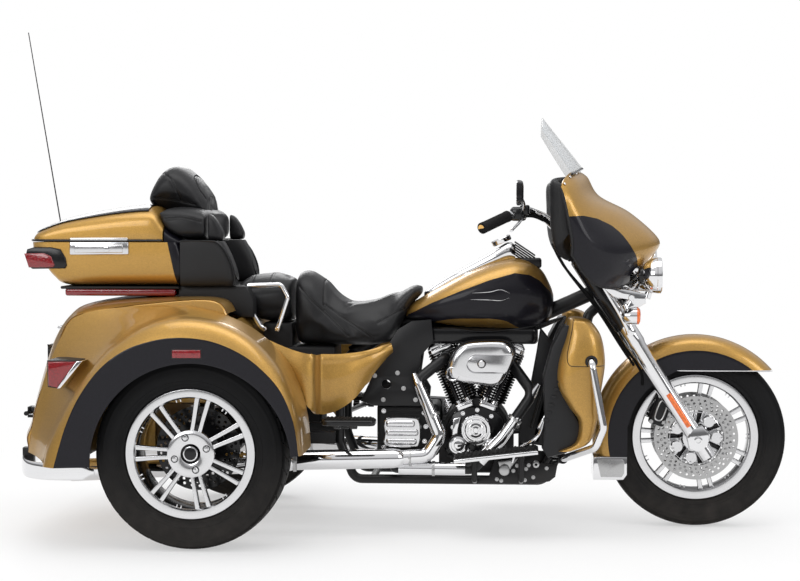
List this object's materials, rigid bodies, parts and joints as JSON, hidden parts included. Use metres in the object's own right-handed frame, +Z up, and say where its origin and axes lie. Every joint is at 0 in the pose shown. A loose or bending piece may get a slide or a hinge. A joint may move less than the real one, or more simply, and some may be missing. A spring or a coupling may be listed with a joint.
{
  "type": "touring trike",
  "caption": "Touring motor trike with steered front wheel, fairing, tank, engine, seats, hollow trunk with door and hollow top box with lid.",
  "frame": {"origin": "on the ground under the middle of the overall length and width", "axes": "+X forward, +Y to the rider's left, +Z up"},
  "size_m": [2.7814, 1.39, 1.7824],
  "materials": {
    "gold_paint": "metallic gloss",
    "dark_paint": "gloss",
    "chrome": "polished",
    "black_metal": "satin",
    "engine_black": "satin",
    "alloy": "polished",
    "tyre": "matte",
    "leather": "grained",
    "black_plastic": "textured",
    "red_lens": "clear",
    "screen": "clear"
  },
  "bodies": {
    "chassis": {"frame": "black_metal", "engine_case": "engine_black", "cylinders": "engine_black", "engine_covers": "chrome", "gearbox": "engine_black", "air_cleaner": "chrome", "exhausts": "chrome", "fuel_tank": "dark_paint", "tank_console": "chrome", "battery_case": "black_plastic", "rider_seat": "leather", "pillion_seat": "leather", "grab_rails": "chrome", "trunk_body": "gold_paint", "rear_fenders": "gold_paint", "side_panels": "gold_paint", "rear_axle": "black_metal", "rear_bumper": "chrome", "rear_lights": "red_lens", "top_box": "gold_paint", "armrests": "leather", "speaker_pods": "black_plastic", "antenna": "black_metal", "lower_fairings": "gold_paint", "engine_guard": "chrome", "rider_boards": "black_plastic"},
    "trunk_door": {"trunk_door": "gold_paint", "plate_bracket": "black_metal"},
    "box_lid": {"top_box_lid": "gold_paint", "backrest": "leather"},
    "steering": {"fork": "alloy", "handlebar": "chrome", "fairing_shell": "gold_paint", "fairing_dash": "black_plastic", "windshield": "screen", "front_lamps": "chrome", "front_fender": "gold_paint"},
    "front_wheel": {"front_wheel": "alloy", "front_tyre": "tyre"},
    "rear_wheel_right": {"rear_wheel_right": "alloy", "rear_tyre_right": "tyre"},
    "rear_wheel_left": {"rear_wheel_left": "alloy", "rear_tyre_left": "tyre"},
    "passenger_board_right": {"passenger_board_right": "black_plastic"},
    "passenger_board_left": {"passenger_board_left": "black_plastic"}
  },
  "joints": [
    {"name": "steer", "type": "hinge", "parent": "chassis", "child": "steering", "pos_m": [0.76724, 0, 0.835], "axis": [-0.4384, 0, 0.8988], "range_deg": [-25, 25]},
    {"name": "front_wheel_spin", "type": "hinge", "parent": "steering", "child": "front_wheel", "pos_m": [1.0745, 0, 0.315], "axis": [0, 1, 0], "continuous": true},
    {"name": "rear_wheel_right_spin", "type": "hinge", "parent": "chassis", "child": "rear_wheel_right", "pos_m": [-0.6055, -0.54, 0.316], "axis": [0, 1, 0], "continuous": true},
    {"name": "rear_wheel_left_spin", "type": "hinge", "parent": "chassis", "child": "rear_wheel_left", "pos_m": [-0.6055, 0.54, 0.316], "axis": [0, 1, 0], "continuous": true},
    {"name": "trunk_door_hinge", "type": "hinge", "parent": "chassis", "child": "trunk_door", "pos_m": [-1.2515, 0, 0.402], "axis": [0, -1, 0], "range_deg": [0, 85]},
    {"name": "lid_hinge", "type": "hinge", "parent": "chassis", "child": "box_lid", "pos_m": [-0.9855, 0.305, 1.002], "axis": [-1, 0, 0], "range_deg": [0, 75]},
    {"name": "passenger_board_right_fold", "type": "hinge", "parent": "chassis", "child": "passenger_board_right", "pos_m": [-0.1255, -0.352, 0.378], "axis": [-1, 0, 0], "range_deg": [0, 50]},
    {"name": "passenger_board_left_fold", "type": "hinge", "parent": "chassis", "child": "passenger_board_left", "pos_m": [-0.1255, 0.352, 0.378], "axis": [1, 0, 0], "range_deg": [0, 50]}
  ]
}
